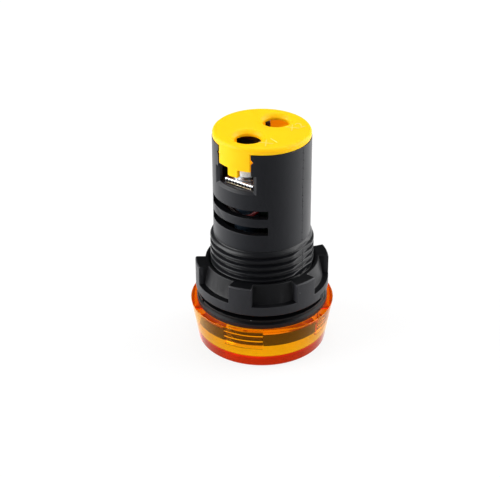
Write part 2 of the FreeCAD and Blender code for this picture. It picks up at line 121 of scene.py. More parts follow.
table_paint = bpy.data.materials.new("white_table")
tree = empty_tree(table_paint)
rays = place_node(tree, "ShaderNodeLightPath").outputs
matt = place_node(tree, "ShaderNodeBsdfDiffuse", {"Color": TABLE_WHITE}).outputs[0]
bright = place_node(tree, "ShaderNodeEmission", {"Color": LIGHT_WHITE, "Strength": 1.0}).outputs[0]
seen = maths(tree, "MULTIPLY", rays["Is Camera Ray"], SEEN_SHARE)
share = maths(tree, "MAXIMUM", rays["Is Transmission Ray"], seen)
as_seen = place_node(tree, "ShaderNodeMixShader", {0: share, 1: matt, 2: bright}).outputs[0]
spot = place_node(tree, "ShaderNodeNewGeometry").outputs["Position"]
outward = place_node(tree, "ShaderNodeVectorMath", {0: spot}, operation="NORMALIZE").outputs[0]
towards = dot(tree, outward, TO_VIEWER)
in_front = ramp(tree, towards, *TABLE_FRONT, *FRONT_MIRRORED)
behind = ramp(tree, towards, *TABLE_BACK, *BACK_MIRRORED)
mirrored = maths(tree, "ADD", in_front, behind)
glossy_sockets = {"Color": LIGHT_WHITE, "Strength": mirrored}
as_mirrored = place_node(tree, "ShaderNodeEmission", glossy_sockets).outputs[0]
only_gloss = maths(tree, "SUBTRACT", rays["Is Glossy Ray"], rays["Is Transmission Ray"])
mixed = place_node(tree, "ShaderNodeMixShader", {0: only_gloss, 1: as_seen, 2: as_mirrored})
place_node(tree, "ShaderNodeOutputMaterial", {"Surface": mixed.outputs[0]})

table_mesh = bpy.data.meshes.new("white_table")
outline = [(x * TABLE_HALF, y * TABLE_HALF, 0) for x, y in ((-1, -1), (1, -1), (1, 1), (-1, 1))]
table_mesh.from_pydata(outline, [], [(0, 1, 2, 3)])
table = bpy.data.objects.new("white_table", table_mesh)
table.data.materials.append(table_paint)
table.location.z = -TABLE_GAP
bpy.context.scene.collection.objects.link(table)

VIEW_HEIGHT = math.radians(29.392)
VIEW_DISTANCE = 285.04 * MM
VIEW_LENS = 99.25
VIEW_SENSOR = 36.0
VIEW_NEAR = 0.01
AIM = Vector((0, 0, 23.175 * MM))
FRAME_WIDTH = 500
AIM_SHIFT = (-12 / FRAME_WIDTH, -2.5 / FRAME_WIDTH)


def from_aim(bearing, height, distance):
    """A place at a bearing from -Y towards +X and an angle above the table, seen from the aim."""
    flat = math.cos(height) * distance
    return AIM + Vector((math.sin(bearing) * flat, -math.cos(bearing) * flat, math.sin(height) * distance))


def stand_facing_aim(obj, bearing, height, distance):
    obj.location = from_aim(bearing, height, distance)
    obj.rotation_euler = (AIM - obj.location).to_track_quat("-Z", "Y").to_euler()
    bpy.context.scene.collection.objects.link(obj)


camera = bpy.data.objects.new("camera", bpy.data.cameras.new("camera"))
camera.data.sensor_width = VIEW_SENSOR
camera.data.lens = VIEW_LENS
camera.data.shift_x, camera.data.shift_y = AIM_SHIFT
camera.data.clip_start = VIEW_NEAR
stand_facing_aim(camera, VIEW_BEARING, VIEW_HEIGHT, VIEW_DISTANCE)
bpy.context.scene.camera = camera

SOFT_BOXES = (
    ("left_soft_box", -84, 22, 0.5, 0.5, 3.2),
    ("right_soft_box", 100, 22, 0.5, 0.5, 2.6),
    ("overhead_soft_box", 150, 68, 0.6, 0.5, 1.4),
)
for name, bearing, height, distance, size, power in SOFT_BOXES:
    lamp = bpy.data.objects.new(name, bpy.data.lights.new(name, "AREA"))
    lamp.data.shape = "SQUARE"
    lamp.data.size = size
    lamp.data.energy = power
    stand_facing_aim(lamp, VIEW_BEARING + math.radians(bearing), math.radians(height), distance)

bpy.context.scene.view_settings.view_transform = "Standard"

# Housing: one piece of black plastic
# Skirt, flange, threaded neck and barrel are one grained moulding. Shade is painted darker on the flange's
# upper faces, in the vents and on the thread, and the skirt is painted greyer for light that reaches it
# through the lens. The split mould leaves fine flash lines, and flats where the thread stops.
BLACK = (0.0096, 0.0105, 0.0142, 1)
RUBBED_BLACK = (0.05, 0.05, 0.053, 1)
SHADE_BLACK = (0.004, 0.0042, 0.005, 1)
SKIRT_LIT_GREY = (0.1, 0.085, 0.085, 1)
THREAD_SHADE_BLACK = (0.0055, 0.006, 0.0078, 1)
WORN_WIDTH = 0.2 * MM
WORN_BEND = (0.02, 0.2)
WORN_PATCHES = (0.35, 0.6)
SHARP_ANGLE = 32
WELD_GAP = 0.0005 * MM
THIN_GAP = 0.002 * MM
FLAT_WITHIN = math.radians(0.6)
THREAD_PITCH = 1.5 * MM
THREAD_CREST = 10.7 * MM
THREAD_DEPTH = 0.85 * MM
THREAD_START = 0.3 * MM
THREAD_SMOOTH = 80
ROOT_SHARE = 0.22
FLANK_SHARE = 0.5
SKIN_TUCK = 0.6 * MM
NECK_LOW = 10.5 * MM
NECK_HIGH = 25.2 * MM
NECK_FLAT = 10.2 * MM
FLAT_FROM = 0.5
NECK_COLUMNS = 216
NECK_ROWS = 196
RUN_OUT = 1.1 * MM
BARREL_R = 10.0 * MM
NECK_SKIN_R = BARREL_R - 0.1 * MM
BARREL_TOP = 46.4 * MM
SKIRT_TOP = 9.2 * MM
FLANGE_TOP = 10.52 * MM
FACING_UP = 0.3
VENT_ZONE = (27 * MM, 35.5 * MM)
VENT_WALL_R = BARREL_R - 0.25 * MM
FLASH_PROUD = 0.045 * MM
FLASH_HALF = 0.08 * MM
FLASH_DASH = (0.7, 2.4)
FLASH_GAP = (0.12, 0.5)
BARREL_FLASH = (NECK_HIGH + 0.4 * MM, BARREL_TOP - 0.3 * MM)
NECK_FLASH = (NECK_LOW + 0.4 * MM, NECK_HIGH - 1.6 * MM)
HOUSING_EDGE = 0.11 * MM


def new_group(name, inputs, outputs):
    """A shader node group with its sockets; returns the group, its input node and its output node."""
    group = bpy.data.node_groups.new(name, "ShaderNodeTree")
    for label, kind, value in inputs:
        socket = group.interface.new_socket(label, in_out="INPUT", socket_type="NodeSocket" + kind)
        socket.default_value = value
    for label, kind in outputs:
        group.interface.new_socket(label, in_out="OUTPUT", socket_type="NodeSocket" + kind)
    return group, group.nodes.new("NodeGroupInput").outputs, group.nodes.new("NodeGroupOutput")


def mix_colour(tree, share, first, second):
    """One colour mix; returns its colour."""
    node = place_node(tree, "ShaderNodeMix", data_type="RGBA")
    fill_sockets(tree, node, {0: share, 6: first, 7: second})
    return node.outputs[2]


def object_spot(tree):
    """The point on the piece, in the piece's own frame."""
    return place_node(tree, "ShaderNodeTexCoord").outputs["Object"]


def noise(tree, spot, per_mm, detail=3.0, roughness=0.55):
    """Noise with its scale given in cells a millimetre; returns its value."""
    sockets = {"Vector": spot, "Scale": per_mm / MM, "Detail": detail, "Roughness": roughness}
    return place_node(tree, "ShaderNodeTexNoise", sockets).outputs[0]


def scaled(tree, vector, factor):
    node = place_node(tree, "ShaderNodeVectorMath", {0: vector}, operation="SCALE")
    fill_sockets(tree, node, {"Scale": factor})
    return node.outputs[0]


moulded, given, made = new_group(
    "moulded_surface",
    [
        ("Colour", "Color", BLACK), ("Rubbed Colour", "Color", BLACK), ("Roughness", "Float", 0.45),
        ("Grain Size", "Float", 0.12), ("Grain Depth", "Float", 0.01), ("Cloudiness", "Float", 0.2),
        ("Edge Wear", "Float", 0.4),
    ],
    [("Colour", "Color"), ("Roughness", "Float"), ("Height", "Float")],
)
spot = object_spot(moulded)
fineness = maths(moulded, "DIVIDE", 1.0 / MM, given["Grain Size"])
grain_sockets = {"Vector": spot, "Scale": fineness, "Detail": 3.0, "Roughness": 0.6}
grain = place_node(moulded, "ShaderNodeTexNoise", grain_sockets).outputs[0]
clouds = noise(moulded, spot, 0.22, 4.0)
off_middle = maths(moulded, "SUBTRACT", clouds, 0.5)
rounded = place_node(moulded, "ShaderNodeBevel", {"Radius": WORN_WIDTH}, samples=6).outputs[0]
plain_normal = place_node(moulded, "ShaderNodeNewGeometry").outputs["Normal"]
bent = maths(moulded, "SUBTRACT", 1.0, dot(moulded, rounded, plain_normal))
worn = maths(moulded, "MULTIPLY", ramp(moulded, bent, *WORN_BEND), ramp(moulded, clouds, *WORN_PATCHES))
rubbed = maths(moulded, "MULTIPLY", worn, given["Edge Wear"])
uneven = maths(moulded, "MULTIPLY_ADD", off_middle, given["Cloudiness"], 1.0)
tint = scaled(moulded, given["Colour"], uneven)
moulded.links.new(mix_colour(moulded, rubbed, tint, given["Rubbed Colour"]), made.inputs["Colour"])
shine = maths(moulded, "MULTIPLY_ADD", off_middle, 0.12, given["Roughness"])
moulded.links.new(maths(moulded, "MULTIPLY_ADD", rubbed, -0.06, shine), made.inputs["Roughness"])
moulded.links.new(maths(moulded, "MULTIPLY", grain, given["Grain Depth"]), made.inputs["Height"])


def use_group(tree, group, sockets):
    node = tree.nodes.new("ShaderNodeGroup")
    node.node_tree = group
    fill_sockets(tree, node, sockets)
    return node.outputs


def new_paint(name):
    """An empty material; returns it with its node tree."""
    paint = bpy.data.materials.new(name)
    return paint, empty_tree(paint)


def finish_paint(paint, sockets, volume=None):
    """Closes a material with one Principled shader that takes the sockets given."""
    body = place_node(paint.node_tree, "ShaderNodeBsdfPrincipled", sockets)
    outputs = {"Surface": body.outputs[0]}
    if volume is not None:
        outputs["Volume"] = volume
    place_node(paint.node_tree, "ShaderNodeOutputMaterial", outputs)
    return paint


def bumped(tree, height, strength, depth):
    """The normal of a surface with small heights on it."""
    sockets = {"Height": height, "Strength": strength, "Distance": depth}
    return place_node(tree, "ShaderNodeBump", sockets).outputs[0]


def plastic(name, colour, roughness, rubbed=None, grain_size=0.12, grain_depth=0.01, wear=0.4,
            cloudiness=0.2, **shader):
    """A moulded plastic with grain, uneven gloss and paler rubbed edges."""
    paint, tree = new_paint(name)
    surface = use_group(tree, moulded, {
        "Colour": colour, "Rubbed Colour": rubbed or colour, "Roughness": roughness,
        "Grain Size": grain_size, "Grain Depth": grain_depth, "Edge Wear": wear, "Cloudiness": cloudiness})
    sockets = {"Base Color": surface["Colour"], "Roughness": surface["Roughness"],
               "Normal": bumped(tree, surface["Height"], 0.4, MM)}
    for label, value in shader.items():
        sockets[label.replace("_", " ")] = value
    return finish_paint(paint, sockets)


def new_piece(name, shape, paints, body, slot, *stands_for):
    """A finished mesh as a piece of the lamp: painted, riding on its body, standing for its nodes."""
    mesh = bpy.data.meshes.new(name)
    shape.to_mesh(mesh)
    shape.free()
    piece = bpy.data.objects.new(name, mesh)
    bpy.context.scene.collection.objects.link(piece)
    for paint in paints:
        mesh.materials.append(paint)
    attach(piece, body)
    if stands_for:
        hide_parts(*stands_for)
    smooth(mesh)
    return piece


def smooth(mesh, angle=SHARP_ANGLE):
    mesh.polygons.foreach_set("use_smooth", [True] * len(mesh.polygons))
    mesh.set_sharp_from_angle(angle=math.radians(angle))


def face_outwards(shape):
    bmesh.ops.recalc_face_normals(shape, faces=shape.faces)


def copied_shape(node):
    """The solid's surface as a copy to work on, with flat stretches made into single faces."""
    shape = bmesh.new()
    shape.from_mesh(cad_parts[node].data)
    bmesh.ops.remove_doubles(shape, verts=shape.verts, dist=WELD_GAP)
    bmesh.ops.dissolve_limit(shape, angle_limit=FLAT_WITHIN, verts=shape.verts, edges=shape.edges)
    bmesh.ops.dissolve_degenerate(shape, dist=THIN_GAP, edges=shape.edges)
    return shape


def round_edges(piece, width, segments=2):
    """Small round edges on every sharp corner of the piece, as the mould leaves them."""
    bevel = piece.modifiers.new("round_edges", "BEVEL")
    bevel.width = width
    bevel.segments = segments
    bevel.limit_method = "ANGLE"
    bevel.angle_limit = math.radians(SHARP_ANGLE)
    bevel.use_clamp_overlap = False
    bevel.harden_normals = True


def polar(radius, bearing, z):
    """A point at a bearing from -Y towards +X."""
    return (radius * math.sin(bearing), -radius * math.cos(bearing), z)


def new_ring(shape, spots):
    return [shape.verts.new(spot) for spot in spots]


def skin_rings(shape, rings, capped=False):
    """Quads between neighbouring rings of points, with a face across each end where it is capped."""
    for low, high in zip(rings, rings[1:]):
        for index in range(len(low)):
            after = (index + 1) % len(low)
            shape.faces.new((low[index], low[after], high[after], high[index]))
    if capped:
        shape.faces.new(rings[0])
        shape.faces.new(rings[-1])


def turns_along(z, pitch, bearing):
    """Where a point lies on a right-hand thread, counted in turns."""
    return z / pitch - bearing / (2 * math.pi)


def thread_radius(turns, crest, depth):
    """Radius of a moulded thread, with round crests and roots, at so many turns along it."""
    from_root = abs((turns % 1.0) - 0.5) * 2
    rise = min(1.0, max(0.0, (from_root - ROOT_SHARE) / FLANK_SHARE))
    return crest - depth * (1 - rise * rise * (3 - 2 * rise))


def helical_skin(shape, radius_at, low, high, columns, rows):
    """A round skin on the lamp's axis whose radius follows bearing and height, tucked in at both ends."""
    levels = [low + (high - low) * row / rows for row in range(rows + 1)]
    bearings = [2 * math.pi * column / columns for column in range(columns)]
    rings = []
    for z in levels:
        rings.append(new_ring(shape, [polar(radius_at(bearing, z), bearing, z) for bearing in bearings]))
    for ring, end in ((rings[0], 0), (rings[-1], len(rings))):
        tucked = []
        for bearing, point in zip(bearings, ring):
            radius = math.hypot(point.co.x, point.co.y) - SKIN_TUCK
            tucked.append(polar(radius, bearing, point.co.z))
        rings.insert(end + (end > 0), new_ring(shape, tucked))
    skin_rings(shape, rings)


def neck_radius(bearing, z):
    """The neck: threaded, cut back flat on both sides of the parting line, fading out into the barrel."""
    turns = turns_along(z - THREAD_START, THREAD_PITCH, bearing)
    radius = thread_radius(turns, THREAD_CREST, THREAD_DEPTH)
    fade = min(1.0, max(0.0, (NECK_HIGH - z) / RUN_OUT))
    radius = BARREL_R + (radius - BARREL_R) * fade
    across = abs(math.sin(bearing))
    return min(radius, NECK_FLAT / across) if across > FLAT_FROM else radius


def add_flash(shape, side, face_x, low, high):
    """The fine raised line that the mould's joint leaves, in uneven dashes up one side."""
    foot = face_x - FLASH_HALF
    section = ((foot, -FLASH_HALF), (face_x + FLASH_PROUD, 0), (foot, FLASH_HALF))
    z = low
    while z < high:
        top = min(high, z + random.uniform(*FLASH_DASH) * MM)
        rings = [new_ring(shape, [(side * x, y, level) for x, y in section]) for level in (z, top)]
        skin_rings(shape, rings, capped=True)
        z = top + random.uniform(*FLASH_GAP) * MM


def is_neck_skin(face):
    centre = face.calc_center_median()
    return NECK_LOW < centre.z < NECK_HIGH and math.hypot(centre.x, centre.y) > NECK_SKIN_R


random.seed(22)
shape = copied_shape("housing")
bmesh.ops.delete(shape, geom=[face for face in shape.faces if is_neck_skin(face)], context="FACES")
for side in (-1, 1):
    add_flash(shape, side, BARREL_R, *BARREL_FLASH)
    add_flash(shape, side, NECK_FLAT, *NECK_FLASH)
# Faces on the flange's top and in the vents take the painted shade finish; the skirt takes the painted
# lighter grey
for face in shape.faces:
    at = face.calc_center_median()
    in_vent = VENT_ZONE[0] < at.z < VENT_ZONE[1] and math.hypot(at.x, at.y) < VENT_WALL_R
    on_flange = at.z < FLANGE_TOP and face.normal.z > FACING_UP
    face.material_index = 2 if at.z < SKIRT_TOP else 1 if on_flange or in_vent else 0
black_plastic = plastic("black_moulding", BLACK, 0.42, RUBBED_BLACK, Specular_IOR_Level=0.42)
painted_shade_plastic = plastic("flange_moulding", SHADE_BLACK, 0.34, Specular_IOR_Level=0.14)
# The skirt's grey is painted light: it stands in for light that reaches the skirt through the lens
lit_skirt_plastic = plastic("skirt_moulding", SKIRT_LIT_GREY, 0.5, Specular_IOR_Level=0.4)
# The thread's black is darker than the barrel's: painted shade for its grooves
shaded_thread_plastic = plastic("thread_moulding", THREAD_SHADE_BLACK, 0.36, RUBBED_BLACK, Specular_IOR_Level=0.42)
paints = [black_plastic, painted_shade_plastic, lit_skirt_plastic]
housing = new_piece("housing_moulding", shape, paints, "root", "black_moulding", "housing")
round_edges(housing, HOUSING_EDGE)
shape = bmesh.new()
helical_skin(shape, neck_radius, NECK_LOW, NECK_HIGH, NECK_COLUMNS, NECK_ROWS)
face_outwards(shape)
neck = new_piece("neck_thread", shape, [shaded_thread_plastic], "root", "black_moulding")
smooth(neck.data, THREAD_SMOOTH)

# Light board and its diodes
# A round board in white solder mask lies against the housing's seat and faces the lens. Seven diodes,
# white cups with a phosphor fill, are soldered to it, one in the middle and six round it.
BOARD_WHITE = (0.78, 0.78, 0.75, 1)
WHITE_COPPER = (0.62, 0.6, 0.5, 1)
BOARD_HAZE = (0.3, 0.3, 0.28, 1)
RUNS_PER_MM = 0.4
RUN_EDGE = (0.04, 0.07)
COPPER_RAISED = 0.03 * MM
MASK_ROUGHNESS = (0.28, 0.42)
DIODE_COUNT = 7
CUP_R = 1.9 * MM
FILL_TOP_R = 0.9 * CUP_R
CUP_DEPTH = 0.35 * MM
FILL_PROUD = (0.03 * MM, 0.05 * MM)
CUP_WHITE = (0.85, 0.85, 0.82, 1)
PHOSPHOR = (0.95, 0.62, 0.12, 1)


def board_paint(name, colour, copper, copper_seen):
    """A solder-masked board: covered copper runs show as a slightly different tone."""
    paint, tree = new_paint(name)
    spot = object_spot(tree)
    runs = place_node(tree, "ShaderNodeTexVoronoi", {"Vector": spot, "Scale": RUNS_PER_MM / MM},
                      distance="MANHATTAN", feature="DISTANCE_TO_EDGE")
    covered = ramp(tree, runs.outputs["Distance"], *RUN_EDGE, copper_seen, 0.0)
    haze = noise(tree, spot, 0.5)
    colour_now = mix_colour(tree, covered, colour, copper)
    colour_now = mix_colour(tree, maths(tree, "MULTIPLY", haze, 0.12), colour_now, BOARD_HAZE)
    raised = bumped(tree, covered, 0.3, COPPER_RAISED)
    roughness = ramp(tree, haze, 0.3, 0.7, *MASK_ROUGHNESS)
    return finish_paint(paint, {"Base Color": colour_now, "Roughness": roughness, "Normal": raised})


def repaint(node, paint):
    """Gives a solid that is shown as it is its own finish."""
    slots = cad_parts[node].data.materials
    slots.clear()
    slots.append(paint)


repaint("led_board", board_paint("light_board_mask", BOARD_WHITE, WHITE_COPPER, 0.6))
cup_white = plastic("diode_cup", CUP_WHITE, 0.3, grain_depth=0.002)
phosphor = plastic("diode_phosphor", PHOSPHOR, 0.22, grain_size=0.05, grain_depth=0.006)


def add_disc(shape, centre, outline, steps=28):
    """A small turned form from (radius, height) points, closed at both ends."""
    turns = [2 * math.pi * step / steps for step in range(steps)]
    rings = []
    for radius, z in outline:
        spots = [(centre.x + radius * math.cos(a), centre.y + radius * math.sin(a), z) for a in turns]
        rings.append(new_ring(shape, spots))
    skin_rings(shape, rings, capped=True)
    face_outwards(shape)


for number in range(1, DIODE_COUNT + 1):
    node = f"led_{number}"
    repaint(node, cup_white)
    low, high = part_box(node)
    shape = bmesh.new()
    fill = ((CUP_R, low.z + CUP_DEPTH), (CUP_R, low.z - FILL_PROUD[0]),
            (FILL_TOP_R, low.z - FILL_PROUD[1]))
    add_disc(shape, (low + high) / 2, fill)
    new_piece(f"phosphor_{number}", shape, [phosphor], "root", "led_package")

# Driver board and its parts
# An upright board in the housing's rails carries a sleeved can, a film capacitor, a bridge rectifier
# and two resistors. Pins join it to the light board, and two sleeved leads to the terminals.
BOARD_GREEN = (0.012, 0.03, 0.018, 1)
GREEN_COPPER = (0.02, 0.06, 0.03, 1)
HEADER_BODY = 2.05 * MM
CAN_TOP = 0.35 * MM
CAN_LEG = 0.92 * MM
BRIDGE_LEG = 0.8 * MM
RESISTOR_HALF = 3.25 * MM
SCRATCH_STRETCHES = ((0.15, 2.4, 2.4), (2.4, 0.15, 2.4))
SCRATCH_DEPTH = 0.02 * MM
RED_LEAD_SHADE = (0.012, 0.004, 0.004, 1)
RED_LEAD_SHADE_X = (0.9 * MM, -0.6 * MM)
repaint("driver_board", board_paint("driver_board_mask", BOARD_GREEN, GREEN_COPPER, 0.8))


def metal(name, colour, roughness, scratch=0.5, stain=(0.2, 0.17, 0.13, 1), stained=0.25, metallic=1.0):
    """A plated metal with fine crossing scratches, uneven gloss and light staining."""
    paint, tree = new_paint(name)
    spot = object_spot(tree)
    lines = []
    for stretch in SCRATCH_STRETCHES:
        drawn_out = place_node(tree, "ShaderNodeVectorMath", {0: spot, 1: stretch}, operation="MULTIPLY")
        lines.append(noise(tree, drawn_out.outputs[0], 6.0, 2.0, 0.7))
    scratches = maths(tree, "MULTIPLY", *lines)
    clouds = noise(tree, spot, 0.9, 4.0)
    dirty = maths(tree, "MULTIPLY", ramp(tree, clouds, 0.5, 0.72), stained)
    scratched = bumped(tree, scratches, scratch, SCRATCH_DEPTH)
    gloss = maths(tree, "MULTIPLY_ADD", clouds, 0.3, roughness - 0.12)
    return finish_paint(paint, {
        "Base Color": mix_colour(tree, dirty, colour, stain), "Roughness": gloss, "Metallic": metallic,
        "Normal": scratched})


def split_paint(node, paints, choose, name, slot):
    """A copy of the solid whose faces take the second finish where choose says so of a face's middle."""
    shape = copied_shape(node)
    for face in shape.faces:
        face.material_index = int(choose(face.calc_center_median()))
    new_piece(name, shape, paints, "root", slot, node)


tinned_pin = metal("tinned_pin", (0.72, 0.71, 0.68, 1), 0.3)
header_black = plastic("header_black", (0.02, 0.02, 0.021, 1), 0.45)
aluminium = metal("can_aluminium", (0.8, 0.8, 0.82, 1), 0.32)
sleeve = plastic("can_sleeve", (0.03, 0.048, 0.072, 1), 0.3, grain_depth=0.003, cloudiness=0.5)
film_yellow = plastic("film_box", (0.62, 0.34, 0.03, 1), 0.33, (0.7, 0.5, 0.2, 1))
lacquer = plastic("resistor_lacquer", (0.2, 0.42, 0.55, 1), 0.3, grain_depth=0.02, grain_size=0.4)
red_sleeve = plastic("red_insulation", (0.12, 0.003, 0.004, 1), 0.4, grain_depth=0.003, grain_size=0.3,
                     Specular_IOR_Level=0.3)
black_sleeve = plastic("black_insulation", (0.012, 0.012, 0.013, 1), 0.4, grain_depth=0.003,
                       grain_size=0.3)

header_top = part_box("pin_header")[0].z + HEADER_BODY
split_paint("pin_header", [header_black, tinned_pin],
            lambda at: at.z > header_top, "header_pins", "header_black")
can_low, can_high = (corner.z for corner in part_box("electrolytic_capacitor"))
split_paint("electrolytic_capacitor", [sleeve, aluminium],
            lambda at: at.z > can_high - CAN_TOP or at.z < can_low + CAN_LEG, "sleeved_can", "sleeved_can")
bridge_low, bridge_high = (corner.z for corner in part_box("bridge_rectifier"))
split_paint("bridge_rectifier", [header_black, tinned_pin],
            lambda at: at.z < bridge_low + BRIDGE_LEG or at.z > bridge_high - BRIDGE_LEG,
            "bridge", "header_black")
repaint("film_capacitor", film_yellow)
for node, name in (("dropping_resistor", "resistor_front"), ("bleed_resistor", "resistor_back")):
    split_paint(node, [lacquer, tinned_pin],
                lambda at: abs(at.x) > RESISTOR_HALF, name, "resistor_body")


def coordinates(tree):
    """The point on the piece as three numbers."""
    return place_node(tree, "ShaderNodeSeparateXYZ", {0: object_spot(tree)}).outputs


def shader_of(tree):
    return next(node for node in tree.nodes if node.type == "BSDF_PRINCIPLED")


def paint_over(paint, mask, colour):
    """Lays another colour over a finished paint where the mask is full."""
    tree = paint.node_tree
    body = shader_of(tree)
    under = body.inputs["Base Color"].links[0].from_socket
    fill_sockets(tree, body, {"Base Color": mix_colour(tree, mask, under, colour)})


# Painted shade: the red sleeve darkens towards its -X side, deeper inside the housing
tree = red_sleeve.node_tree
paint_over(red_sleeve, ramp(tree, coordinates(tree)[0], *RED_LEAD_SHADE_X), RED_LEAD_SHADE)
repaint("red_lead", red_sleeve)
repaint("black_lead", black_sleeve)

# Terminals: two plates, clamps and their screws
# Under each driver hole a tinned brass plate with a threaded collar lies on the housing's floor. A plated
# steel clamp with grip teeth sits on it, held by an M3 pan-head screw with a flat and a spring washer.
SCREW_PITCH = 0.5 * MM
SCREW_CREST = 1.45 * MM + 0.03 * MM
SCREW_DEPTH = 0.2 * MM
SCREW_SPAN = (0.1 * MM, 4.0 * MM)
SCREW_COLUMNS = 32
SCREW_ROWS = 96
SCREW_Y = 4.8 * MM
CLAMP_TEETH = 0.76 * MM
TOOTH_BAND = 0.6 * MM
BAND_FULL = 0.85
TOOTH_WAVE = (-0.1, 0.3)
NOTCH_SHADE = (0.03, 0.028, 0.026, 1)
GREY_STAIN = (0.35, 0.33, 0.3, 1)
zinc = metal("bright_zinc", (0.82, 0.85, 0.9, 1), 0.24, 0.4, GREY_STAIN, 0.3)
tinned_brass = metal("tinned_brass", (0.86, 0.76, 0.58, 1), 0.3, 0.4, (0.45, 0.26, 0.1, 1), 0.6)
spring_steel = metal("spring_steel", (0.34, 0.36, 0.39, 1), 0.3, 0.5)
# Painted reflection: the screw heads' zinc is mostly matt, its near-white colour standing in for the bright
# surroundings it mirrors
blued_zinc_painted_reflection = metal("blued_zinc_painted_reflection", (0.86, 0.97, 1.0, 1), 0.24, 0.4, (0.45, 0.47, 0.47, 1), 0.1,
                   metallic=0.12)
toothed_zinc = metal("toothed_zinc", (0.82, 0.87, 0.92, 1), 0.26, 0.4, (0.3, 0.28, 0.26, 1), 0.35)

# Painted shade: dark notches between the clamps' grip teeth, near their foot
tree = toothed_zinc.node_tree
at = coordinates(tree)
clamp_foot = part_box("clamp_plate_1")[0].z
wave = maths(tree, "SINE", maths(tree, "MULTIPLY", at[0], 2 * math.pi / CLAMP_TEETH))
in_band = ramp(tree, at[2], clamp_foot + TOOTH_BAND, clamp_foot + BAND_FULL * TOOTH_BAND)
shade_between_teeth = maths(tree, "MULTIPLY", ramp(tree, wave, *TOOTH_WAVE), in_band)
paint_over(toothed_zinc, shade_between_teeth, NOTCH_SHADE)


def shank_radius(bearing, z):
    """The screw's right-hand M3 thread, its crests just proud of the plain solid shank."""
    return thread_radius(turns_along(z, SCREW_PITCH, bearing), SCREW_CREST, SCREW_DEPTH)


for side, y in ((1, -SCREW_Y), (2, SCREW_Y)):
    for node, paint, body, slot, width in (
        ("terminal_plate", tinned_brass, "root", "tinned_brass", 0.07),
        ("clamp_plate", toothed_zinc, f"clamp_{side}", "zinc_plate", 0.06),
        ("flat_washer", zinc, f"screw_{side}", "zinc_plate", 0.06),
        ("spring_washer", spring_steel, f"screw_{side}", "spring_steel", 0.05),
        ("terminal_screw", blued_zinc_painted_reflection, f"screw_{side}", "zinc_plate", 0.12),
    ):
        name = f"{node}_{side}"
        shape = copied_shape(name)
        piece = new_piece(f"plated_{name}", shape, [paint], body, slot, name)
        round_edges(piece, width * MM)
    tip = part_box(f"terminal_screw_{side}")[0].z
    shape = bmesh.new()
    helical_skin(shape, shank_radius, tip + SCREW_SPAN[0], tip + SCREW_SPAN[1], SCREW_COLUMNS, SCREW_ROWS)
    face_outwards(shape)
    bmesh.ops.translate(shape, verts=shape.verts, vec=(0, y, 0))
    shank = new_piece(f"screw_thread_{side}", shape, [zinc], f"screw_{side}", "zinc_plate")
    smooth(shank.data, THREAD_SMOOTH)

# Terminal cover: the yellow finger guard
# A disc and two tongues are one piece of thin yellow plastic, with a painted orange glow on the inside.
# Small pips snap into the windows, low blocks hang under the disc by its holes, and raised marks number the
# terminals.
YELLOW = (1.0, 0.54, 0.0, 1)
PALE_YELLOW = (1.0, 0.57, 0.005, 1)
RAISED_YELLOW = (1.0, 0.64, 0.09, 1)
PAINTED_GLOW_ORANGE = (0.5, 0.11, 0.0, 1)
UNLIT = (0, 0, 0, 1)
INNER_R = 8.95 * MM
INNER_Z = (46.5 * MM, 45.9 * MM)
TONGUE_HALF = 3.8 * MM
FLANK_X = TONGUE_HALF - 0.03 * MM
COVER_EDGE = 0.2 * MM
PIP_Z = 44.85 * MM
PIP_HALF = 0.55 * MM
PIP_PROUD = 0.4 * MM
PIP_ROOT = TONGUE_HALF - 0.2 * MM
PIP_FACES = (-8.95 * MM, -8.3 * MM)
HOLE_BLOCK = Vector((0.7, 1.3, 1.4)) * MM
HOLE_BLOCK_AT = Vector((3.4, 4.85, 45.8)) * MM
MARK_RAISED = 0.06 * MM
MARK_SIZE = 3.2 * MM
MARK_TURN = math.radians(72)
MARKS = (("X1", 5.05, -4.4), ("X2", 5.1, 4.4))
MARK_STROKE = -0.03 * MM


def distance_from_axis(tree, at):
    """How far a point of the piece lies from the lamp's axis."""
    squares = [maths(tree, "MULTIPLY", value, value) for value in (at[0], at[1])]
    return maths(tree, "SQRT", maths(tree, "ADD", *squares))


yellow_plastic = plastic(
    "yellow_cover", YELLOW, 0.38, PALE_YELLOW, 0.2, 0.004, wear=0.1, cloudiness=0.0,
    Specular_IOR_Level=0.17, Subsurface_Weight=0.3, Subsurface_Radius=(1.0, 0.5, 0.02),
    Subsurface_Scale=0.8 * MM)

# Painted light: an orange glow stands in for light coming through to the faces inside the disc's wall and
# along the tongues' flanks
tree = yellow_plastic.node_tree
at = coordinates(tree)
within_wall = maths(tree, "LESS_THAN", distance_from_axis(tree, at), INNER_R)
flanks = maths(tree, "GREATER_THAN", maths(tree, "ABSOLUTE", at[0]), FLANK_X)
inside = maths(tree, "MAXIMUM", within_wall, flanks)
inside = maths(tree, "MULTIPLY", inside, ramp(tree, at[2], *INNER_Z))
shine_through = mix_colour(tree, inside, UNLIT, PAINTED_GLOW_ORANGE)
fill_sockets(tree, shader_of(tree), {"Emission Color": shine_through, "Emission Strength": 1.0})
raised_yellow = plastic("raised_marks", RAISED_YELLOW, 0.4, grain_depth=0.002, cloudiness=0.0)


def add_pip(shape, turn, side):
    """One snap pip on a tongue's edge: a small wedge with its ridge across the wall."""
    wedge = ((PIP_ROOT, PIP_Z - PIP_HALF), (TONGUE_HALF + PIP_PROUD, PIP_Z), (PIP_ROOT, PIP_Z + PIP_HALF))
    rings = []
    for y in PIP_FACES:
        rings.append(new_ring(shape, [turn @ Vector((side * x, y, z)) for x, z in wedge]))
    skin_rings(shape, rings, capped=True)


def add_hole_block(shape, turn, side):
    """One low block under the disc, beside a driver hole."""
    at = turn @ Vector((side * HOLE_BLOCK_AT.x, HOLE_BLOCK_AT.y, HOLE_BLOCK_AT.z))
    bmesh.ops.create_cube(shape, size=1.0, matrix=Matrix.LocRotScale(at, None, HOLE_BLOCK))


